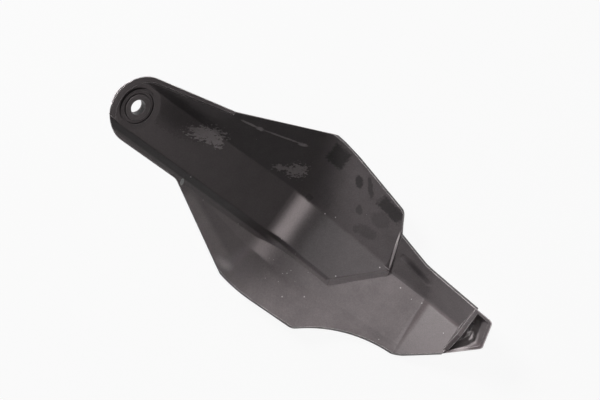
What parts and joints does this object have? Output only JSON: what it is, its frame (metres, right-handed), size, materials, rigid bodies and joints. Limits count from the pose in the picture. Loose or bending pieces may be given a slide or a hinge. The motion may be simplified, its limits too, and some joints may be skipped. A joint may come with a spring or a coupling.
{
  "type": "motorcycle hand guard",
  "caption": "Right-hand motorcycle hand guard in black moulded plastic, seen from the rider's side, with a bolt lug on a long arm and a pocket at the bar end.",
  "frame": {"origin": "centre of the plan rectangle, at the height of the lowest outer face", "axes": "+X along the guard from the bolt lug to the bar end, +Y towards the upper wall, +Z from the outer face towards the rider"},
  "size_m": [0.2446, 0.1064, 0.111],
  "materials": {
    "black_plastic": "fine moulded grain, scuffed"
  },
  "bodies": {
    "root": {"guard_shell": "black_plastic"}
  },
  "joints": []
}
